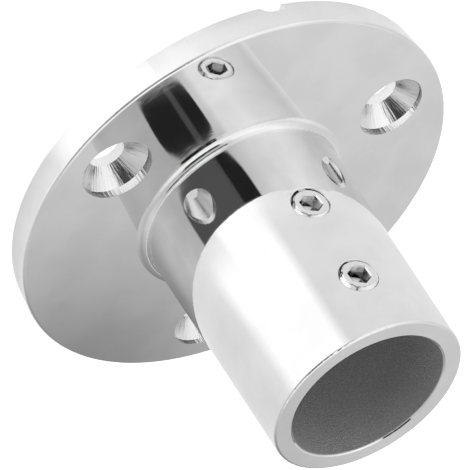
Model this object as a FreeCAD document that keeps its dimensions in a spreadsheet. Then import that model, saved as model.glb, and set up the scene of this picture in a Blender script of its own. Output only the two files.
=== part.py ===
import FreeCAD, Part
import Sketcher
import math
import os

# Tube clamp base flange: a polished casting with a round base and a socket tube, and two set screws.
# The origin is the centre of the underside, +Z runs along the socket to its mouth, and the set screws face -Y.

# Driving dimensions: name, value and meaning, in millimetres and degrees
SIZES = (
    ("bore_diameter", "25.8", "bore of the socket, for a 25.4 mm tube"),
    ("wall", "3.1", "wall of the socket at its mouth"),
    ("socket_height", "48.4", "underside of the base to the mouth"),
    ("socket_draft", "0.95", "casting draft on the outside of the socket"),
    ("root_round", "1.6", "fillet between the socket and the base"),
    ("mouth_outer_round", "0.4", "rounded outer edge of the mouth"),
    ("mouth_chamfer", "0.3", "chamfer at the inner edge of the mouth"),
    ("base_diameter", "74.6", "base across its upper edge"),
    ("base_thickness", "5.2", "thickness of the base at its rim"),
    ("crown_rise", "0.95", "how much higher the base's crowned face is at the socket than at its rim"),
    ("side_draft", "5.3", "lean of the base's side wall, outwards and up"),
    ("rim_round", "0.5", "rounded upper edge of the base"),
    ("foot_chamfer", "0.2", "chamfer at the lower edge of the base"),
    ("hole_count", "3", "countersunk holes in the base"),
    ("hole_circle_diameter", "56.2", "circle through the centres of these holes"),
    ("first_hole_angle", "-30", "direction of the first hole, from +X"),
    ("throat_diameter", "6", "through diameter of a hole"),
    ("countersink_diameter", "11.5", "top diameter of a hole"),
    ("countersink_angle", "90", "angle of the cone"),
    ("countersink_step", "1.2", "straight step above the cone, at the middle of the hole"),
    ("screw_diameter", "6", "outside of the set screws' thread"),
    ("screw_clearance", "0.06", "gap round a set screw in its tapped hole"),
    ("screw_lip_round", "0.15", "rounded lip of a tapped hole"),
    ("lower_screw_height", "22.5", "underside of the base to the lower screw's axis"),
    ("screw_spacing", "15.4", "from the lower screw's axis to the upper one's"),
    ("screw_proud", "0.4", "screw face beyond the mouth's outer radius"),
    ("screw_tip_gap", "0.1", "screw tip back from the bore"),
    ("screw_face_chamfer", "0.45", "chamfer round the screw's outer face"),
    ("screw_tip_chamfer", "0.6", "chamfer round the screw's tip"),
    ("hex_across_flats", "3.1", "hexagon socket across its flats"),
    ("hex_depth", "2.5", "depth of the hexagon socket"),
    ("hex_lead_in", "0.2", "bevel at the mouth of the hexagon, beyond its flats"),
    ("lower_screw_turn", "37.4", "how far the lower screw's hexagon is turned"),
    ("upper_screw_turn", "33", "how far the upper screw's hexagon is turned"),
    ("drain_height", "1.5", "height of the drain channel under the base"),
    ("drain_flat_width", "2.1", "flat part of the channel's ceiling"),
    ("drain_slope_width", "2.7", "curved side of the channel"),
    ("drain_wall_offset", "2.05", "channel's straight wall, from the middle of the screw line"),
    ("nick_angle", "25.4", "shallow notch in the foot, round from the drain channel"),
    ("nick_depth", "0.3", "depth of that notch into the side wall"),
    ("nick_height", "1.3", "height of that notch"),
    ("nick_flat_width", "1.2", "flat part of that notch's ceiling"),
    ("nick_slope_width", "2", "curved side of that notch"),
    ("nick_wall_offset", "1.9", "that notch's straight wall, from the middle of its direction"),
)
MATCH = 1e-3

doc = FreeCAD.newDocument("tube_clamp_base_flange")
sheet = doc.addObject("Spreadsheet::Sheet", "Sizes")
for row, (alias, value, meaning) in enumerate(SIZES, start=1):
    sheet.set(f"A{row}", meaning)
    sheet.set(f"B{row}", value)
    sheet.setAlias(f"B{row}", alias)
doc.recompute()


def size(alias):
    return float(sheet.get(alias))


# Radii and places that several features share, as expressions over the sheet
BORE_RADIUS = "Sizes.bore_diameter / 2"
MOUTH_RADIUS = "(Sizes.bore_diameter / 2 + Sizes.wall)"
ROOT_HEIGHT = "(Sizes.base_thickness + Sizes.crown_rise)"
ROOT_RADIUS = f"({MOUTH_RADIUS} + (Sizes.socket_height - {ROOT_HEIGHT}) * tan(Sizes.socket_draft))"
RIM_RADIUS = "Sizes.base_diameter / 2"
HOLE_CIRCLE_RADIUS = "Sizes.hole_circle_diameter / 2"
FALL_TO_HOLES = (
    f"Sizes.crown_rise * (({HOLE_CIRCLE_RADIUS}) ^ 2 - {ROOT_RADIUS} ^ 2)"
    f" / (({RIM_RADIUS}) ^ 2 - {ROOT_RADIUS} ^ 2)"
)
FOOT_RADIUS = "(Sizes.base_diameter / 2 - Sizes.base_thickness * tan(Sizes.side_draft))"
TAPPED_RADIUS = "(Sizes.screw_diameter / 2 + Sizes.screw_clearance)"
UPPER_SCREW_HEIGHT = "(Sizes.lower_screw_height + Sizes.screw_spacing)"
SCREW_FACE_RADIUS = f"({MOUTH_RADIUS} + Sizes.screw_proud)"
SCREW_LENGTH = "(Sizes.wall + Sizes.screw_proud - Sizes.screw_tip_gap)"

bore_radius = size("bore_diameter") / 2
mouth_radius = bore_radius + size("wall")
socket_slope = math.tan(math.radians(size("socket_draft")))
root_height = size("base_thickness") + size("crown_rise")
root_radius = mouth_radius + (size("socket_height") - root_height) * socket_slope
rim_radius = size("base_diameter") / 2
foot_radius = rim_radius - size("base_thickness") * math.tan(math.radians(size("side_draft")))
tapped_radius = size("screw_diameter") / 2 + size("screw_clearance")
screw_heights = (size("lower_screw_height"), size("lower_screw_height") + size("screw_spacing"))


def origin_feature(body, role):
    return next(f for f in body.Origin.OriginFeatures if f.Role == role)


def new_sketch(body, name, plane):
    sketch = body.newObject("Sketcher::SketchObject", name)
    sketch.AttachmentSupport = [(origin_feature(body, plane), "")]
    sketch.MapMode = "FlatFace"
    return sketch


def bind(sketch, constraint, name, expression):
    index = sketch.addConstraint(constraint)
    sketch.renameConstraint(index, name)
    sketch.setExpression(f"Constraints.{name}", expression)


def place_point(sketch, geometry, point, name, across=None, up=None):
    """Bind a point's distances from the sketch's origin; one that isn't given stays free."""
    start = sketch.getPoint(geometry, point)
    if across:
        bind(sketch, Sketcher.Constraint("DistanceX", -1, 1, geometry, point, start.x), f"{name}_across", across)
    if up:
        bind(sketch, Sketcher.Constraint("DistanceY", -1, 1, geometry, point, start.y), f"{name}_up", up)


def add_polygon(sketch, corners):
    """Closed chain of lines through the corners, in order."""
    count = len(corners)
    points = [FreeCAD.Vector(x, y, 0) for x, y in corners]
    for i in range(count):
        sketch.addGeometry(Part.LineSegment(points[i], points[(i + 1) % count]), False)
    for i in range(count):
        sketch.addConstraint(Sketcher.Constraint("Coincident", i, 2, (i + 1) % count, 1))


def circular_edges(feature, radius, height):
    """Names of the full circles round Z with this radius, at this height."""
    names = []
    for i, edge in enumerate(feature.Shape.Edges, start=1):
        if not isinstance(edge.Curve, Part.Circle):
            continue
        centre = edge.Curve.Center
        on_axis = math.hypot(centre.x, centre.y) < MATCH
        if on_axis and abs(centre.z - height) < MATCH and abs(edge.Curve.Radius - radius) < MATCH:
            names.append(f"Edge{i}")
    return names


def round_edges(body, name, edges, radius_expression):
    base = body.Tip
    feature = body.newObject("PartDesign::Fillet", name)
    feature.Base = (base, edges)
    feature.setExpression("Radius", radius_expression)
    doc.recompute()


def chamfer_edges(body, name, edges, size_expression):
    base = body.Tip
    feature = body.newObject("PartDesign::Chamfer", name)
    feature.Base = (base, edges)
    feature.setExpression("Size", size_expression)
    doc.recompute()


# Cast body: the half section of base and socket, turned round Z
flange = doc.addObject("PartDesign::Body", "flange_body")
flange.Label = "flange_body"
section = new_sketch(flange, "casting_section", "XZ_Plane")
rim_point = FreeCAD.Vector(rim_radius, size("base_thickness"), 0)
root_point = FreeCAD.Vector(root_radius, root_height, 0)
foot_point = FreeCAD.Vector(foot_radius, 0, 0)
mouth_point = FreeCAD.Vector(mouth_radius, size("socket_height"), 0)
bore_top = FreeCAD.Vector(bore_radius, size("socket_height"), 0)
bore_foot = FreeCAD.Vector(bore_radius, 0, 0)
crown_centre_drop = (rim_radius**2 - root_radius**2 - size("crown_rise") ** 2) / (2 * size("crown_rise"))
crown_centre = FreeCAD.Vector(0, size("base_thickness") - crown_centre_drop, 0)
crown_circle = Part.Circle(crown_centre, FreeCAD.Vector(0, 0, 1), crown_centre.distanceToPoint(rim_point))
crown_start, crown_end = (
    math.atan2(point.y - crown_centre.y, point.x) for point in (rim_point, root_point)
)
for geometry in (
    Part.LineSegment(bore_foot, foot_point),
    Part.LineSegment(foot_point, rim_point),
    Part.ArcOfCircle(crown_circle, crown_start, crown_end),
    Part.LineSegment(root_point, mouth_point),
    Part.LineSegment(mouth_point, bore_top),
    Part.LineSegment(bore_top, bore_foot),
):
    section.addGeometry(geometry, False)
for i in range(6):
    section.addConstraint(Sketcher.Constraint("Coincident", i, 2, (i + 1) % 6, 1))
for horizontal_line in (0, 4):
    section.addConstraint(Sketcher.Constraint("Horizontal", horizontal_line))
section.addConstraint(Sketcher.Constraint("Vertical", 5))
section.addConstraint(Sketcher.Constraint("PointOnObject", 0, 1, -1))
section.addConstraint(Sketcher.Constraint("PointOnObject", 2, 3, -2))
place_point(section, 0, 1, "bore", across=BORE_RADIUS)
place_point(section, 1, 1, "foot", across=FOOT_RADIUS)
place_point(section, 2, 1, "rim", across=RIM_RADIUS, up="Sizes.base_thickness")
place_point(section, 3, 1, "root", across=ROOT_RADIUS, up=ROOT_HEIGHT)
place_point(section, 4, 1, "mouth", across=MOUTH_RADIUS, up="Sizes.socket_height")
casting = flange.newObject("PartDesign::Revolution", "casting")
casting.Profile = section
casting.ReferenceAxis = (section, ["V_Axis"])
casting.Angle = 360
doc.recompute()

# Rounded and chamfered edges of the casting
for name, finish, radius, height, expression in (
    ("root_fillet", round_edges, root_radius, root_height, "Sizes.root_round"),
    ("rim_edge", round_edges, rim_radius, size("base_thickness"), "Sizes.rim_round"),
    ("foot_edge", chamfer_edges, foot_radius, 0, "Sizes.foot_chamfer"),
    ("mouth_outer_edge", round_edges, mouth_radius, size("socket_height"), "Sizes.mouth_outer_round"),
    ("mouth_inner_edge", chamfer_edges, bore_radius, size("socket_height"), "Sizes.mouth_chamfer"),
):
    finish(flange, name, circular_edges(flange.Tip, radius, height), expression)

# Countersunk screw holes: a straight step, a cone and a short throat, on a circle round the socket
hole_centre = new_sketch(flange, "hole_centre", "XY_Plane")
hole_centre.setExpression("AttachmentOffset.Base.z", ROOT_HEIGHT)
first_hole = math.radians(size("first_hole_angle"))
hole_circle_radius = size("hole_circle_diameter") / 2
hole_centre.addGeometry(Part.Circle(
    FreeCAD.Vector(hole_circle_radius * math.cos(first_hole), hole_circle_radius * math.sin(first_hole), 0),
    FreeCAD.Vector(0, 0, 1),
    size("throat_diameter") / 2,
), False)
bind(hole_centre, Sketcher.Constraint("Diameter", 0, size("throat_diameter")), "throat", "Sizes.throat_diameter")
place_point(
    hole_centre, 0, 3, "centre",
    across=f"{HOLE_CIRCLE_RADIUS} * cos(Sizes.first_hole_angle)",
    up=f"{HOLE_CIRCLE_RADIUS} * sin(Sizes.first_hole_angle)",
)
doc.recompute()
hole = flange.newObject("PartDesign::Hole", "countersunk_hole")
hole.Profile = hole_centre
hole.ThreadType = "None"
hole.setExpression("Diameter", "Sizes.throat_diameter")
hole.HoleCutType = "Counterdrill"
hole.HoleCutCustomValues = True
hole.setExpression("HoleCutDiameter", "Sizes.countersink_diameter")
hole.setExpression("HoleCutDepth", f"Sizes.countersink_step + {FALL_TO_HOLES}")
hole.setExpression("HoleCutCountersinkAngle", "Sizes.countersink_angle")
hole.DepthType = "ThroughAll"
doc.recompute()
hole_ring = flange.newObject("PartDesign::PolarPattern", "hole_ring")
hole_ring.Originals = [hole]
hole_ring.Axis = (origin_feature(flange, "Z_Axis"), [""])
hole_ring.Angle = 360
hole_ring.setExpression("Occurrences", "Sizes.hole_count")
flange.Tip = hole_ring
doc.recompute()

# Tapped holes for the set screws, through the wall on the -Y side only
tapped = new_sketch(flange, "tapped_holes", "XZ_Plane")
for i, (height, expression) in enumerate(zip(screw_heights, ("Sizes.lower_screw_height", UPPER_SCREW_HEIGHT))):
    tapped.addGeometry(Part.Circle(FreeCAD.Vector(0, height, 0), FreeCAD.Vector(0, 0, 1), tapped_radius), False)
    tapped.addConstraint(Sketcher.Constraint("PointOnObject", i, 3, -2))
    bind(tapped, Sketcher.Constraint("Radius", i, tapped_radius), f"radius_{i}", TAPPED_RADIUS)
    place_point(tapped, i, 3, f"screw_{i}", up=expression)
tapping = flange.newObject("PartDesign::Pocket", "tapping")
tapping.Profile = tapped
tapping.Type = "ThroughAll"
tapping.Reversed = True
doc.recompute()


def lip_edges(feature):
    """Names of the edges where the tapped holes break out of the socket's outside."""
    names = []
    for i, edge in enumerate(feature.Shape.Edges, start=1):
        points = edge.discretize(9)
        for height in screw_heights:
            from_hole_axis = [math.hypot(p.x, p.z - height) for p in points]
            outside = min(math.hypot(p.x, p.y) for p in points) > mouth_radius - MATCH
            if outside and all(abs(d - tapped_radius) < MATCH for d in from_hole_axis):
                names.append(f"Edge{i}")
    return names


round_edges(flange, "tapped_lips", lip_edges(tapping), "Sizes.screw_lip_round")


def foot_notch(name, height, flat, slope, wall_offset, angle, start):
    """Cut into the foot, open downwards: a straight wall, a flat ceiling and a side that curves down to the foot.

    The sizes are names in the sheet. It runs outwards from the radius start, in the direction angle, counted
    round from the screw line; both are expressions.
    """
    left = -size(wall_offset)
    top = size(height)
    ceiling_end = left + size(flat)
    foot_end = ceiling_end + size(slope)
    half_turn = math.atan2(top, size(slope))
    bend = math.hypot(top, size(slope)) / (4 * math.sin(half_turn))
    up = FreeCAD.Vector(0, 0, 1)
    ceiling_circle = Part.Circle(FreeCAD.Vector(ceiling_end, top - bend, 0), up, bend)
    foot_circle = Part.Circle(FreeCAD.Vector(foot_end, bend, 0), up, bend)

    sketch = new_sketch(flange, f"{name}_section", "XZ_Plane")
    sketch.AttachmentOffset = FreeCAD.Placement(FreeCAD.Vector(), FreeCAD.Rotation(FreeCAD.Vector(0, 1, 0), 1))
    sketch.setExpression("AttachmentOffset.Base.x", f"{start} * sin({angle})")
    sketch.setExpression("AttachmentOffset.Base.z", f"{start} * cos({angle})")
    sketch.setExpression("AttachmentOffset.Rotation.Angle", angle)
    wall_foot = FreeCAD.Vector(left, -top, 0)
    wall_top = FreeCAD.Vector(left, top, 0)
    foot = FreeCAD.Vector(foot_end, 0, 0)
    below_foot = FreeCAD.Vector(foot_end, -top, 0)
    for geometry in (
        Part.LineSegment(wall_foot, wall_top),
        Part.LineSegment(wall_top, FreeCAD.Vector(ceiling_end, top, 0)),
        Part.ArcOfCircle(ceiling_circle, math.pi / 2 - 2 * half_turn, math.pi / 2),
        Part.ArcOfCircle(foot_circle, 1.5 * math.pi - 2 * half_turn, 1.5 * math.pi),
        Part.LineSegment(foot, below_foot),
        Part.LineSegment(below_foot, wall_foot),
    ):
        sketch.addGeometry(geometry, False)
    for first, first_point, second, second_point in (
        (0, 2, 1, 1), (1, 2, 2, 2), (2, 1, 3, 1), (3, 2, 4, 1), (4, 2, 5, 1), (5, 2, 0, 1),
    ):
        sketch.addConstraint(Sketcher.Constraint("Coincident", first, first_point, second, second_point))
    for vertical_line in (0, 4):
        sketch.addConstraint(Sketcher.Constraint("Vertical", vertical_line))
    for horizontal_line in (1, 5):
        sketch.addConstraint(Sketcher.Constraint("Horizontal", horizontal_line))
    for arc, level_end in ((2, 2), (3, 2)):
        sketch.addConstraint(Sketcher.Constraint("Vertical", arc, 3, arc, level_end))
    sketch.addConstraint(Sketcher.Constraint("PointOnObject", 3, 2, -1))
    sketch.addConstraint(Sketcher.Constraint("Equal", 2, 3))
    place_point(sketch, 0, 1, "wall", f"-Sizes.{wall_offset}", f"-Sizes.{height}")
    place_point(sketch, 1, 2, "ceiling", f"Sizes.{flat} - Sizes.{wall_offset}", f"Sizes.{height}")
    place_point(sketch, 3, 2, "foot", across=f"Sizes.{flat} + Sizes.{slope} - Sizes.{wall_offset}")
    place_point(sketch, 2, 1, "bend", up=f"Sizes.{height} / 2")
    doc.recompute()
    notch = flange.newObject("PartDesign::Pocket", name)
    notch.Profile = sketch
    notch.Type = "ThroughAll"
    notch.Reversed = True
    doc.recompute()


# Drain channel under the base, from the bore to the rim below the set screws, and a shallow nick beside it
foot_notch(
    "drain_channel", "drain_height", "drain_flat_width", "drain_slope_width", "drain_wall_offset",
    angle="0", start="0",
)
foot_notch(
    "foot_nick", "nick_height", "nick_flat_width", "nick_slope_width", "nick_wall_offset",
    angle="Sizes.nick_angle", start=f"({FOOT_RADIUS} - Sizes.nick_depth)",
)


def set_screw(name, height_expression, turn_expression):
    """Hexagon-socket set screw, modelled standing on its tip and then laid along -Y in its tapped hole."""
    screw = doc.addObject("PartDesign::Body", name)
    screw.Label = name
    radius = size("screw_diameter") / 2
    length = size("wall") + size("screw_proud") - size("screw_tip_gap")

    outline = new_sketch(screw, f"{name}_outline", "XY_Plane")
    outline.addGeometry(Part.Circle(FreeCAD.Vector(), FreeCAD.Vector(0, 0, 1), radius), False)
    outline.addConstraint(Sketcher.Constraint("Coincident", 0, 3, -1, 1))
    bind(outline, Sketcher.Constraint("Diameter", 0, 2 * radius), "thread", "Sizes.screw_diameter")
    shank = screw.newObject("PartDesign::Pad", f"{name}_shank")
    shank.Profile = outline
    shank.setExpression("Length", SCREW_LENGTH)
    doc.recompute()
    for end, level in (("tip", 0), ("face", length)):
        edges = circular_edges(screw.Tip, radius, level)
        chamfer_edges(screw, f"{name}_{end}_chamfer", edges, f"Sizes.screw_{end}_chamfer")

    corner_radius = size("hex_across_flats") / math.sqrt(3)
    hexagon = new_sketch(screw, f"{name}_hexagon", "XY_Plane")
    hexagon.AttachmentOffset = FreeCAD.Placement(FreeCAD.Vector(), FreeCAD.Rotation(FreeCAD.Vector(0, 0, 1), 1))
    hexagon.setExpression("AttachmentOffset.Base.z", SCREW_LENGTH)
    hexagon.setExpression("AttachmentOffset.Rotation.Angle", turn_expression)
    add_polygon(hexagon, [
        (corner_radius * math.cos(math.radians(60 * i)), corner_radius * math.sin(math.radians(60 * i)))
        for i in range(6)
    ])
    hexagon.addGeometry(Part.Circle(FreeCAD.Vector(), FreeCAD.Vector(0, 0, 1), corner_radius), True)
    hexagon.addConstraint(Sketcher.Constraint("Coincident", 6, 3, -1, 1))
    for side in range(6):
        hexagon.addConstraint(Sketcher.Constraint("PointOnObject", side, 1, 6))
    for side in range(1, 6):
        hexagon.addConstraint(Sketcher.Constraint("Equal", 0, side))
    hexagon.addConstraint(Sketcher.Constraint("PointOnObject", 0, 1, -1))
    bind(hexagon, Sketcher.Constraint("Radius", 6, corner_radius), "corners", "Sizes.hex_across_flats / sqrt(3)")
    doc.recompute()
    socket = screw.newObject("PartDesign::Pocket", f"{name}_socket")
    socket.Profile = hexagon
    socket.setExpression("Length", "Sizes.hex_depth")
    doc.recompute()

    bevel_section = new_sketch(screw, f"{name}_bevel_section", "XZ_Plane")
    add_polygon(bevel_section, ((0, length), (corner_radius, length), (0, length - corner_radius)))
    bevel_section.addConstraint(Sketcher.Constraint("Horizontal", 0))
    place_point(bevel_section, 0, 1, "centre", up=SCREW_LENGTH)
    bevel_section.addConstraint(Sketcher.Constraint("PointOnObject", 0, 1, -2))
    bevel_section.addConstraint(Sketcher.Constraint("PointOnObject", 2, 1, -2))
    bind(
        bevel_section, Sketcher.Constraint("DistanceX", 0, 1, 0, 2, corner_radius), "width",
        "Sizes.hex_across_flats / 2 + Sizes.hex_lead_in",
    )
    bind(
        bevel_section, Sketcher.Constraint("DistanceY", 2, 1, 0, 1, corner_radius), "depth",
        "Sizes.hex_across_flats / 2 + Sizes.hex_lead_in",
    )
    doc.recompute()
    bevel = screw.newObject("PartDesign::Groove", f"{name}_bevel")
    bevel.Profile = bevel_section
    bevel.ReferenceAxis = (bevel_section, ["V_Axis"])
    bevel.Angle = 360
    doc.recompute()

    screw.Placement = FreeCAD.Placement(FreeCAD.Vector(), FreeCAD.Rotation(FreeCAD.Vector(1, 0, 0), 90))
    screw.setExpression("Placement.Base.y", f"{SCREW_LENGTH} - {SCREW_FACE_RADIUS}")
    screw.setExpression("Placement.Base.z", height_expression)
    doc.recompute()
    return screw


sub_parts = (
    flange,
    set_screw("set_screw_lower", "Sizes.lower_screw_height", "Sizes.lower_screw_turn"),
    set_screw("set_screw_upper", UPPER_SCREW_HEIGHT, "Sizes.upper_screw_turn"),
)

# Every feature has to be whole before anything is written
doc.recompute()
for feature in doc.Objects:
    if "Invalid" in feature.State or "Error" in feature.State:
        raise RuntimeError(f"{feature.Name} failed: {feature.State}")
for sub_part in sub_parts:
    if sub_part.Shape.isNull() or not sub_part.Shape.isValid():
        raise RuntimeError(f"{sub_part.Label} has no valid shape")

os.makedirs("parts", exist_ok=True)
for sub_part in sub_parts:
    sub_part.Shape.exportStep(f"parts/{sub_part.Label}.step")
    print(sub_part.Label, "solids", len(sub_part.Shape.Solids), "volume", round(sub_part.Shape.Volume, 1))
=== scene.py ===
import math

import bmesh
import bpy
from mathutils import Euler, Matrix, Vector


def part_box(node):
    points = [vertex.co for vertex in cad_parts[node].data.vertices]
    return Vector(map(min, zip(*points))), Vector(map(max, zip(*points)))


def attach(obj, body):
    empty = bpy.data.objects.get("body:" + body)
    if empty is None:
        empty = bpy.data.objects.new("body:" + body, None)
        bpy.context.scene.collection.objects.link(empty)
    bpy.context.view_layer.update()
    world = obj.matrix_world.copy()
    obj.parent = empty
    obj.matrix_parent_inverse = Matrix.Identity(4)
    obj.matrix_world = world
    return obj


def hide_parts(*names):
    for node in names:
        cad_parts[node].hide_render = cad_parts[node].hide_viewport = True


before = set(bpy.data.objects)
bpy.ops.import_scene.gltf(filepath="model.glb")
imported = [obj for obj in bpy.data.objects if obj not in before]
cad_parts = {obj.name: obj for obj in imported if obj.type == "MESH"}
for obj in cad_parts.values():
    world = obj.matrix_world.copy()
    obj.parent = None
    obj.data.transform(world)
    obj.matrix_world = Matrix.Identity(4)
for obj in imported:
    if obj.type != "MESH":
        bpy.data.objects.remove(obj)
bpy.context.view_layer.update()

MM = 0.001
FULL_TURN = 2 * math.pi
WHITE = (1, 1, 1, 1)

# Camera at the photograph's viewing angle, in metres and degrees
CAMERA_PLACE = (0.23827, -0.368479, 0.305208)
CAMERA_TURN_DEG = (-51.26596, -27.01934, -167.59332)
CAMERA_LENS_MM = 258.62
CAMERA_SENSOR_MM = 36
CAMERA_CLIP_START = 0.01
CAMERA_AZIMUTH = math.atan2(CAMERA_PLACE[1], CAMERA_PLACE[0])

# Studio: a white tent that lights everything and shows in the polished steel, with dark panels on the
# camera's side.
# Each stop is a direction in degrees round from the camera and the brightness there.
TENT_LOW = (
    (0, 0.9), (60, 0.65), (90, 0.78), (110, 0.7), (140, 0.4), (172, 0.25), (180, 0.7),
    (210, 0.78), (250, 0.8), (285, 1.12), (320, 1.0), (340, 0.75), (360, 0.9),
)
TENT_HIGH = (
    (0, 0.7), (40, 0.6), (90, 0.66), (120, 0.6), (150, 0.66), (172, 0.68), (184, 0.76),
    (205, 0.98), (232, 0.83), (268, 0.98), (300, 1.19), (326, 1.1), (333, 0.86), (345, 0.76), (360, 0.7),
)
# Elevations in degrees, from where one level starts to give way to where the next one is full
LOW_TO_HIGH = (27, 43)
HIGH_TO_ROOF = (50, 75)
TENT_TO_BELOW = (-1, -3)
ROOF_LEVEL = 1.1
BELOW_LEVEL = 0.75
# Dark panels: middle direction and half width, middle elevation and half height, in degrees
DARK_PANELS = ((10, 31, 43.3, 1.8), (18, 41, 23.2, 6.7), (10, 30, 57.5, 9))
PANEL_CORNER_POWER = 5
PANEL_EDGE = (1.15, 0.85)
DARK_LEVEL = 0.02
# A paler upright stripe in the panels, and the paler lower part of their right side
STRIPE_LEVEL = 0.09
STRIPE_LEFT = (-5, -2)
STRIPE_RIGHT = (5, 2)
LOWER_RIGHT_LEVEL = 0.11
LOWER_RIGHT_START = (-4, 2)
LOWER_RIGHT_TOP = (36, 31)

# Floor: white paper that keeps the object's shadow, with painted light in mirrored views: a painted pool of
# light, brightest on the camera's side.
# Each stop of a painted light ramp is a share of a full turn from the camera and the brightness there.
FLOOR_HALF_SIZE = 4
FLOOR_GAP = 0.02 * MM
FLOOR_COLOUR = 0.8
CAMERA_FILL = 0.72
FOOT_PAINTED_LIGHT = (
    (0, 0.7), (0.04, 0.9), (0.08, 0.7), (0.1, 0.4), (0.19, 0.33), (0.5, 0.3), (0.87, 0.3), (0.95, 0.4),
    (0.985, 0.6),
)
FAR_PAINTED_LIGHT = (
    (0, 0.65), (0.15, 0.65), (0.19, 0.3), (0.25, 0.24), (0.6, 0.24), (0.7, 0.28), (0.955, 0.25),
    (0.985, 0.65),
)
# Painted light on the floor under the base, which the underside mirrors
PAINTED_LIGHT_UNDER_BASE = 0.6
BASE_EDGE = (36.2 * MM, 36.8 * MM)
FOOT_TO_FAR = (45 * MM, 60 * MM)

# Casting: where each finish begins and is full
BORE_RADIUS = 12.9 * MM
BORE_EDGE = (BORE_RADIUS + 0.12 * MM, BORE_RADIUS + 0.04 * MM)
UNDERSIDE_EDGE = (0.06 * MM, 0.02 * MM)
SOCKET_START = (6 * MM, 9 * MM)
HOLE_COUNT = 3
HOLE_SPACING = FULL_TURN / HOLE_COUNT
HOLE_CIRCLE_RADIUS = 28.1 * MM
HOLE_RADIUS = 5.75 * MM
HOLE_EDGE = (HOLE_RADIUS + 0.02 * MM, HOLE_RADIUS - 0.02 * MM)
# Strip along +X where the mesh's normals break, and the socket's draft
SOCKET_SLOPE = math.tan(math.radians(0.95))
SEAM_SIDES = (2.6 * MM, 2.2 * MM)
SEAM_BOTTOM = (8.3 * MM, 8.5 * MM)
SEAM_TOP = (48 * MM, 47.9 * MM)

# Casting: colours from 0 to 1, noise scales in lumps to a metre, reliefs in metres
SOFT_DETAIL = 1
STEEL_COLOUR = 0.82
STEEL_HAZE = 0.77
HAZE_SCALE = 120
HAZE_DETAIL = 6
HAZE_EDGE = (0.35, 0.65)
POLISH_ROUGHNESS = 0.015
POLISH_ROUGHNESS_SPREAD = 0.03
POLISH_ROUGHNESS_SCALE = 180
WAVE_SCALE = 160
WAVE_DEPTH = 3e-6
RIPPLE_SCALE = 1400
RIPPLE_DEPTH = 0.5e-6
LINE_SCALE = 5000
LINE_STRETCH = 0.05
LINE_DEPTH = 0.5e-6
BORE_COLOUR = 0.56
BORE_DARK = 0.4
BORE_METALLIC = 0.6
BORE_ROUGHNESS = 0.6
GRAIN_SCALE = 4600
GRAIN_DEPTH = 260e-6
GRAIN_EDGE = (0.3, 0.7)
TURNING_PITCH = 0.22 * MM
TURNING_DEPTH = 1e-6
TURNED_ROUGHNESS = 0.14
CHATTER_SCALE = 14
CHATTER_DETAIL = 3
CHATTER_DEPTH = 60e-6
CHATTER_ALONG = 30
CHATTER_BY_HOLE = 12
GROUND_SCALE = 6000
GROUND_STRETCH = 0.02
GROUND_DEPTH = 2e-6
GROUND_ROUGHNESS = 0.34

# Set screws, standing on their tips
SCREW_RADIUS = 3 * MM
SCREW_LENGTH = 3.4 * MM
TIP_RADIUS = 2.4 * MM
FACE_RADIUS = 2.55 * MM
THREAD_PITCH = 1 * MM
THREAD_DEPTH = 0.55 * MM
FLANK_SLOPE = 1.35
CREST_SHARE = 0.15
HEX_HALF_FLATS = 1.55 * MM
HEX_SIDE_ANGLE = math.pi / 3
HEX_BEVEL = 0.2 * MM
HEX_DEPTH = 2.5 * MM
HEX_BOTTOM = SCREW_LENGTH - HEX_DEPTH
HEX_TIP_RADIUS = 0.05 * MM
HEX_TIP_DEPTH = 0.5 * MM
AROUND = 96
THREAD_STEPS = 68
SHARP_ANGLE = math.radians(25)
SCREW_COLOUR = 0.78
SCREW_ROUGHNESS = 0.06
SCREW_ROUGHNESS_SPREAD = 0.1
SCREW_ROUGHNESS_SCALE = 900
SCREW_GRAIN_SCALE = 3000
SCREW_GRAIN_DEPTH = 2e-6
SOCKET_ROUGHNESS = 0.16
SOCKET_EDGE = (2.0 * MM, 1.95 * MM)
SOCKET_FADE = 0.1 * MM
# Painted shade inside each hexagon socket; the lower screw's is painted lighter than the upper one's
LOWER_SOCKET_PAINTED_SHADE = 0.5
UPPER_SOCKET_PAINTED_SHADE = 0.12
LOWER_HEX_TURN_DEG = 37.4
UPPER_HEX_TURN_DEG = 33


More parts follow.
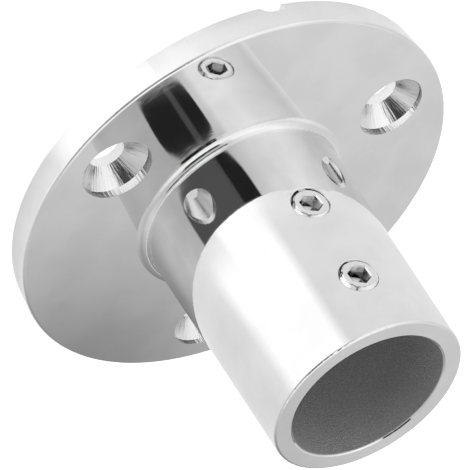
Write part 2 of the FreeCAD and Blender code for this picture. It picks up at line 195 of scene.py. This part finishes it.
class Nodes:
    """Short ways to add and link shader nodes in one tree."""

    def __init__(self, tree):
        self.tree = tree
        tree.nodes.clear()

    def add(self, kind, **settings):
        """A new node of that kind, with these properties."""
        node = self.tree.nodes.new(kind)
        for name, value in settings.items():
            setattr(node, name, value)
        return node

    def feed(self, socket, value):
        """Link a socket to an output, or set it to a plain value."""
        if isinstance(value, bpy.types.NodeSocket):
            self.tree.links.new(value, socket)
        else:
            socket.default_value = value

    def feed_all(self, sockets, values):
        """Feed sockets in their order."""
        for socket, value in zip(sockets, values):
            self.feed(socket, value)

    def math(self, operation, *values):
        """One Math node's result."""
        node = self.add("ShaderNodeMath", operation=operation)
        self.feed_all(node.inputs, values)
        return node.outputs[0]

    def product(self, *values):
        """Two or more values multiplied."""
        result = values[0]
        for value in values[1:]:
            result = self.math("MULTIPLY", result, value)
        return result

    def length(self, a, b):
        """Length of a flat vector."""
        return self.math("SQRT", self.math("MULTIPLY_ADD", a, a, self.math("MULTIPLY", b, b)))

    def away(self, value, middle, half):
        """Distance of a value from the middle, counted in that half width."""
        return self.math("ABSOLUTE", self.math("DIVIDE", self.math("SUBTRACT", value, middle), half))

    def between(self, value, low, high):
        """0 below low, 1 above high, smooth in between; low may be the larger one."""
        node = self.add("ShaderNodeMapRange", interpolation_type="SMOOTHSTEP")
        self.feed(node.inputs["Value"], value)
        self.feed(node.inputs["From Min"], low)
        self.feed(node.inputs["From Max"], high)
        return node.outputs["Result"]

    def ramp(self, value, stops):
        """Grey that runs straight from stop to stop, each a place from 0 to 1 and a level."""
        node = self.add("ShaderNodeValToRGB")
        elements = node.color_ramp.elements
        while len(elements) < len(stops):
            elements.new(0.5)
        for element, (place, level) in zip(elements, stops):
            element.position = place
            element.color = plain_grey(level)
        self.feed(node.inputs["Fac"], value)
        return node.outputs["Color"]

    def mix(self, factor, a, b):
        """The number a at factor 0 and b at factor 1."""
        node = self.add("ShaderNodeMix", data_type="FLOAT")
        self.feed(node.inputs[0], factor)
        self.feed_all(node.inputs[2:4], (a, b))
        return node.outputs[0]

    def mix_colour(self, factor, a, b):
        """The colour or vector a at factor 0 and b at factor 1."""
        node = self.add("ShaderNodeMix", data_type="RGBA")
        self.feed(node.inputs[0], factor)
        self.feed_all(node.inputs[6:8], (a, b))
        return node.outputs[2]

    def grey(self, value):
        """A number's output as a colour."""
        node = self.add("ShaderNodeCombineColor")
        self.feed_all(node.inputs[:3], (value, value, value))
        return node.outputs[0]

    def separate(self, vector):
        """A vector's three numbers."""
        node = self.add("ShaderNodeSeparateXYZ")
        self.feed(node.inputs[0], vector)
        return node.outputs

    def combine(self, x, y, z):
        """A vector of three numbers."""
        node = self.add("ShaderNodeCombineXYZ")
        self.feed_all(node.inputs, (x, y, z))
        return node.outputs[0]

    def coordinates(self, kind="Object"):
        """Place on the object, or the direction in a world's tree with kind Generated."""
        return self.add("ShaderNodeTexCoord").outputs[kind]

    def turn_from_camera(self, x, y):
        """Direction round Z counted from the camera's side, 0 to 1 for a full turn."""
        angle = self.math("SUBTRACT", self.math("ARCTAN2", y, x), CAMERA_AZIMUTH)
        return self.math("FRACT", self.math("DIVIDE", angle, FULL_TURN))

    def noise(self, vector, scale, detail=2):
        """Soft noise about 0.5."""
        texture = self.add("ShaderNodeTexNoise")
        self.feed(texture.inputs["Vector"], vector)
        texture.inputs["Scale"].default_value = scale
        texture.inputs["Detail"].default_value = detail
        return texture.outputs["Fac"]

    def bump(self, height, depth, under=None):
        """Relief of that depth in metres, on top of the normal under it."""
        node = self.add("ShaderNodeBump")
        node.inputs["Distance"].default_value = depth
        self.feed(node.inputs["Height"], height)
        if under:
            self.feed(node.inputs["Normal"], under)
        return node.outputs["Normal"]

    def finish(self, kind, shader):
        """The tree's output, a material's or the world's."""
        self.feed(self.add(kind).inputs["Surface"], shader.outputs[0])


def plain_grey(level):
    """A number as an opaque grey."""
    return (level, level, level, 1)


def new_material(name):
    """A material and the nodes of its emptied tree."""
    material = bpy.data.materials.new(name)
    material.use_nodes = True
    return material, Nodes(material.node_tree)


def new_object(name, shape):
    """Link a mesh object made from a bmesh, which is freed."""
    mesh = bpy.data.meshes.new(name)
    shape.to_mesh(mesh)
    shape.free()
    made = bpy.data.objects.new(name, mesh)
    bpy.context.scene.collection.objects.link(made)
    return made


def make_camera():
    """Long lens at the photograph's place."""
    data = bpy.data.cameras.new("camera")
    data.lens = CAMERA_LENS_MM
    data.sensor_width = CAMERA_SENSOR_MM
    data.clip_start = CAMERA_CLIP_START
    camera = bpy.data.objects.new("camera", data)
    camera.location = CAMERA_PLACE
    camera.rotation_euler = Euler([math.radians(angle) for angle in CAMERA_TURN_DEG], "XYZ")
    bpy.context.scene.collection.objects.link(camera)
    bpy.context.scene.camera = camera
    bpy.context.scene.view_settings.view_transform = "Standard"


def panel_share(n, degrees_round, elevation):
    """1 inside a dark panel and 0 outside, with rounded corners."""
    share = 0.0
    for middle, half_width, height, half_height in DARK_PANELS:
        across = n.math("POWER", n.away(degrees_round, middle, half_width), PANEL_CORNER_POWER)
        up = n.math("POWER", n.away(elevation, height, half_height), PANEL_CORNER_POWER)
        share = n.math("MAXIMUM", share, n.between(n.math("ADD", across, up), *PANEL_EDGE))
    return share


def make_studio():
    """World that lights the scene by direction and is plain white behind the object."""
    world = bpy.data.worlds.new("studio")
    bpy.context.scene.world = world
    world.use_nodes = True
    n = Nodes(world.node_tree)
    direction = n.separate(n.coordinates("Generated"))
    turn = n.turn_from_camera(direction[0], direction[1])
    half_turn_ahead = n.math("FRACT", n.math("ADD", turn, 0.5))
    degrees_round = n.math("MULTIPLY", n.math("SUBTRACT", half_turn_ahead, 0.5), 360)
    elevation = n.math("MULTIPLY", n.math("ARCSINE", direction[2]), math.degrees(1))
    low = n.ramp(turn, [(angle / 360, level) for angle, level in TENT_LOW])
    high = n.ramp(turn, [(angle / 360, level) for angle, level in TENT_HIGH])
    tent = n.mix_colour(n.between(elevation, *LOW_TO_HIGH), low, high)
    tent = n.mix_colour(n.between(elevation, *HIGH_TO_ROOF), tent, plain_grey(ROOF_LEVEL))
    stripe = n.product(n.between(degrees_round, *STRIPE_LEFT), n.between(degrees_round, *STRIPE_RIGHT))
    lower_right = n.product(
        n.between(degrees_round, *LOWER_RIGHT_START), n.between(elevation, *LOWER_RIGHT_TOP)
    )
    dark = n.mix(lower_right, n.mix(stripe, DARK_LEVEL, STRIPE_LEVEL), LOWER_RIGHT_LEVEL)
    tent = n.mix_colour(panel_share(n, degrees_round, elevation), tent, n.grey(dark))
    tent = n.mix_colour(n.between(elevation, *TENT_TO_BELOW), tent, plain_grey(BELOW_LEVEL))
    background = n.add("ShaderNodeBackground")
    seen_by_camera = n.add("ShaderNodeLightPath").outputs["Is Camera Ray"]
    n.feed(background.inputs["Color"], n.mix_colour(seen_by_camera, tent, WHITE))
    n.finish("ShaderNodeOutputWorld", background)


def floor_paper():
    """White paper, filled up for the camera, with painted light by place in mirrored views and clear from
    below.
    """
    material, n = new_material("floor_paper")
    x, y, _ = n.separate(n.coordinates())
    turn = n.turn_from_camera(x, y)
    distance = n.length(x, y)
    foot = n.ramp(turn, FOOT_PAINTED_LIGHT)
    far = n.ramp(turn, FAR_PAINTED_LIGHT)
    painted_light = n.mix_colour(n.between(distance, *FOOT_TO_FAR), foot, far)
    painted_light = n.mix_colour(n.between(distance, *BASE_EDGE), plain_grey(PAINTED_LIGHT_UNDER_BASE), painted_light)
    rays = n.add("ShaderNodeLightPath").outputs
    camera_fill = n.math("MULTIPLY", rays["Is Camera Ray"], CAMERA_FILL)
    # Painted light that only reflections see
    painted_reflected_light = n.math("MULTIPLY", rays["Is Glossy Ray"], painted_light)
    paper = n.add("ShaderNodeBsdfDiffuse")
    paper.inputs["Color"].default_value = plain_grey(FLOOR_COLOUR)
    emission = n.add("ShaderNodeEmission")
    n.feed(emission.inputs["Strength"], n.math("ADD", camera_fill, painted_reflected_light))
    both = n.add("ShaderNodeAddShader")
    n.feed_all(both.inputs, (paper.outputs[0], emission.outputs[0]))
    clear = n.add("ShaderNodeBsdfTransparent")
    from_above_only = n.add("ShaderNodeMixShader")
    backfacing = n.add("ShaderNodeNewGeometry").outputs["Backfacing"]
    n.feed_all(from_above_only.inputs, (backfacing, both.outputs[0], clear.outputs[0]))
    n.finish("ShaderNodeOutputMaterial", from_above_only)
    return material


def make_floor():
    """Sheet just below the base, so that the two never lie in one plane."""
    shape = bmesh.new()
    bmesh.ops.create_grid(shape, x_segments=1, y_segments=1, size=FLOOR_HALF_SIZE)
    floor = new_object("floor", shape)
    floor.location.z = -FLOOR_GAP
    floor.data.materials.append(floor_paper())


def in_nearest_hole(n, x, y, radius):
    """Place in the nearest mounting hole: across it both ways, and distance from its axis."""
    azimuth = n.math("ADD", n.math("ARCTAN2", y, x), HOLE_SPACING / 4)
    folded = n.math("WRAP", azimuth, HOLE_SPACING / 2, -HOLE_SPACING / 2)
    outward = n.math("SUBTRACT", n.math("MULTIPLY", radius, n.math("COSINE", folded)), HOLE_CIRCLE_RADIUS)
    sideways = n.math("MULTIPLY", radius, n.math("SINE", folded))
    return outward, sideways, n.length(outward, sideways)


def cone_normal(n, x, y, radius):
    """The drafted socket's own normal, in the world."""
    to_world = n.add(
        "ShaderNodeVectorTransform", vector_type="NORMAL", convert_from="OBJECT", convert_to="WORLD"
    )
    n.feed(to_world.inputs[0], n.combine(x, y, n.math("MULTIPLY", radius, SOCKET_SLOPE)))
    unit = n.add("ShaderNodeVectorMath", operation="NORMALIZE")
    n.feed(unit.inputs[0], to_world.outputs[0])
    return unit.outputs[0]


def polished_steel():
    """Mirror polish outside, matt grain in the cast bore, turned countersinks and a ground underside."""
    material, n = new_material("polished_steel")
    place = n.coordinates()
    x, y, z = n.separate(place)
    radius = n.length(x, y)
    in_bore = n.between(radius, *BORE_EDGE)
    outside = n.math("SUBTRACT", 1, in_bore)
    underside = n.between(z, *UNDERSIDE_EDGE)
    outward, sideways, hole_distance = in_nearest_hole(n, x, y, radius)
    in_hole = n.between(hole_distance, *HOLE_EDGE)

    geometry = n.add("ShaderNodeNewGeometry").outputs
    at_seam = n.product(
        n.between(n.math("ABSOLUTE", y), *SEAM_SIDES),
        n.between(x, 0, BORE_RADIUS),
        n.between(z, *SEAM_BOTTOM),
        n.between(z, *SEAM_TOP),
        outside,
    )
    surface = n.mix_colour(underside, geometry["Normal"], geometry["True Normal"])
    surface = n.mix_colour(at_seam, surface, cone_normal(n, x, y, radius))

    grain = n.noise(place, GRAIN_SCALE, SOFT_DETAIL)
    line_place = n.combine(n.math("MULTIPLY", x, LINE_STRETCH), n.math("MULTIPLY", y, LINE_STRETCH), z)
    polish_lines = n.noise(line_place, LINE_SCALE, SOFT_DETAIL)
    ground_lines = n.noise(n.combine(n.math("MULTIPLY", x, GROUND_STRETCH), y, 0), GROUND_SCALE)
    turning = n.math("SINE", n.math("MULTIPLY", hole_distance, FULL_TURN / TURNING_PITCH))
    chatter_along = n.math("MULTIPLY", hole_distance, CHATTER_ALONG)
    chatter_place = n.combine(
        n.math("DIVIDE", outward, hole_distance),
        n.math("DIVIDE", sideways, hole_distance),
        n.math("MULTIPLY_ADD", x, CHATTER_BY_HOLE, chatter_along),
    )
    chatter = n.noise(chatter_place, CHATTER_SCALE, CHATTER_DETAIL)
    relief = n.bump(n.noise(place, WAVE_SCALE, SOFT_DETAIL), WAVE_DEPTH, surface)
    relief = n.bump(n.noise(place, RIPPLE_SCALE), RIPPLE_DEPTH, relief)
    relief = n.bump(n.product(polish_lines, n.between(z, *SOCKET_START), outside), LINE_DEPTH, relief)
    relief = n.bump(n.product(grain, in_bore), GRAIN_DEPTH, relief)
    relief = n.bump(n.product(turning, in_hole), TURNING_DEPTH, relief)
    relief = n.bump(n.product(ground_lines, underside), GROUND_DEPTH, relief)
    relief = n.bump(n.product(chatter, in_hole), CHATTER_DEPTH, relief)

    haze = n.between(n.noise(place, HAZE_SCALE, HAZE_DETAIL), *HAZE_EDGE)
    steel_colour = n.mix_colour(haze, plain_grey(STEEL_COLOUR), plain_grey(STEEL_HAZE))
    bore_colour = n.mix_colour(n.between(grain, *GRAIN_EDGE), plain_grey(BORE_DARK), plain_grey(BORE_COLOUR))
    uneven = n.noise(place, POLISH_ROUGHNESS_SCALE)
    polished = n.math("MULTIPLY_ADD", uneven, POLISH_ROUGHNESS_SPREAD, POLISH_ROUGHNESS)
    roughness = n.mix(underside, n.mix(in_hole, polished, TURNED_ROUGHNESS), GROUND_ROUGHNESS)

    shader = n.add("ShaderNodeBsdfPrincipled")
    n.feed(shader.inputs["Base Color"], n.mix_colour(in_bore, steel_colour, bore_colour))
    n.feed(shader.inputs["Metallic"], n.mix(in_bore, 1, BORE_METALLIC))
    n.feed(shader.inputs["Roughness"], n.mix(in_bore, roughness, BORE_ROUGHNESS))
    n.feed(shader.inputs["Normal"], relief)
    n.finish("ShaderNodeOutputMaterial", shader)
    return material


def screw_steel(name, socket_painted_shade):
    """Bright screw, with painted shade darkening the inside of its hexagon socket."""
    material, n = new_material(name)
    place = n.coordinates()
    x, y, z = n.separate(place)
    in_socket = n.product(
        n.between(n.length(x, y), *SOCKET_EDGE),
        n.between(z, SCREW_LENGTH - SOCKET_FADE, HEX_BOTTOM),
        n.between(z, HEX_BOTTOM - SOCKET_FADE, HEX_BOTTOM + SOCKET_FADE),
    )
    uneven = n.noise(place, SCREW_ROUGHNESS_SCALE)
    plain = n.math("MULTIPLY_ADD", uneven, SCREW_ROUGHNESS_SPREAD, SCREW_ROUGHNESS)
    # Painted shade inside the hexagon socket
    colour = n.mix_colour(in_socket, plain_grey(SCREW_COLOUR), plain_grey(socket_painted_shade))
    shader = n.add("ShaderNodeBsdfPrincipled")
    shader.inputs["Metallic"].default_value = 1
    n.feed(shader.inputs["Base Color"], colour)
    n.feed(shader.inputs["Roughness"], n.mix(in_socket, plain, SOCKET_ROUGHNESS))
    n.feed(shader.inputs["Normal"], n.bump(n.noise(place, SCREW_GRAIN_SCALE), SCREW_GRAIN_DEPTH))
    n.finish("ShaderNodeOutputMaterial", shader)
    return material


def thread_radius(angle, height):
    """Radius of the threaded side, cut back by the chamfers at both ends."""
    phase = (height / THREAD_PITCH - angle / FULL_TURN) % 1
    groove = max(0, min(1, FLANK_SLOPE * abs(2 * phase - 1) - CREST_SHARE))
    cut = min(TIP_RADIUS + height, FACE_RADIUS + SCREW_LENGTH - height)
    return min(SCREW_RADIUS - THREAD_DEPTH * groove, cut)


def hexagon_radius(angle):
    """Distance of a hexagon's side from its middle; a side faces angle 0."""
    return HEX_HALF_FLATS / math.cos((angle + HEX_SIDE_ANGLE / 2) % HEX_SIDE_ANGLE - HEX_SIDE_ANGLE / 2)


def screw_rings(turn_deg):
    """Rings from the tip up the thread, over the face and down the hexagon, as (radius, height)."""
    angles = [FULL_TURN * i / AROUND for i in range(AROUND)]
    levels = [SCREW_LENGTH * step / THREAD_STEPS for step in range(THREAD_STEPS + 1)]
    rings = [[(thread_radius(angle, level), level) for angle in angles] for level in levels]
    corner_turn = math.radians(turn_deg) + HEX_SIDE_ANGLE / 2
    hexagon = [hexagon_radius(angle - corner_turn) for angle in angles]
    rings.append([(r + HEX_BEVEL, SCREW_LENGTH) for r in hexagon])
    rings.append([(r, SCREW_LENGTH - HEX_BEVEL) for r in hexagon])
    rings.append([(r, HEX_BOTTOM) for r in hexagon])
    rings.append([(HEX_TIP_RADIUS, HEX_BOTTOM - HEX_TIP_DEPTH) for r in hexagon])
    return rings


def closed_skin(rings):
    """Faces from ring to ring, closed at both ends."""
    shape = bmesh.new()
    loops = []
    for ring in rings:
        loop = []
        for i, (radius, level) in enumerate(ring):
            angle = FULL_TURN * i / AROUND
            loop.append(shape.verts.new((radius * math.cos(angle), radius * math.sin(angle), level)))
        loops.append(loop)
    for lower, upper in zip(loops, loops[1:]):
        for i in range(AROUND):
            after = (i + 1) % AROUND
            shape.faces.new((lower[i], lower[after], upper[after], upper[i]))
    shape.faces.new(loops[0][::-1])
    shape.faces.new(loops[-1])
    return shape


def set_screw(name, node, turn_deg, material):
    """Threaded screw in place of the smooth one, with its tip where that one's is and its head towards -Y."""
    low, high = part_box(node)
    screw = new_object(name, closed_skin(screw_rings(turn_deg)))
    screw.rotation_euler = (math.pi / 2, 0, 0)
    screw.location = (0, high.y, (low.z + high.z) / 2)
    screw.data.shade_smooth()
    screw.data.set_sharp_from_angle(angle=SHARP_ANGLE)
    screw.data.materials.append(material)
    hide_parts(node)
    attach(screw, "root")


make_camera()
make_studio()
make_floor()

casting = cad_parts["flange_body"]
casting.data.materials.clear()
casting.data.materials.append(polished_steel())

# Two copies of the screw steel that differ only in the painted shade inside the socket
lower_screw_steel_painted_shade = screw_steel("screw_steel_lower", LOWER_SOCKET_PAINTED_SHADE)
upper_screw_steel_painted_shade = screw_steel("screw_steel_upper", UPPER_SOCKET_PAINTED_SHADE)
set_screw("screw_lower_threaded", "set_screw_lower", LOWER_HEX_TURN_DEG, lower_screw_steel_painted_shade)
set_screw("screw_upper_threaded", "set_screw_upper", UPPER_HEX_TURN_DEG, upper_screw_steel_painted_shade)
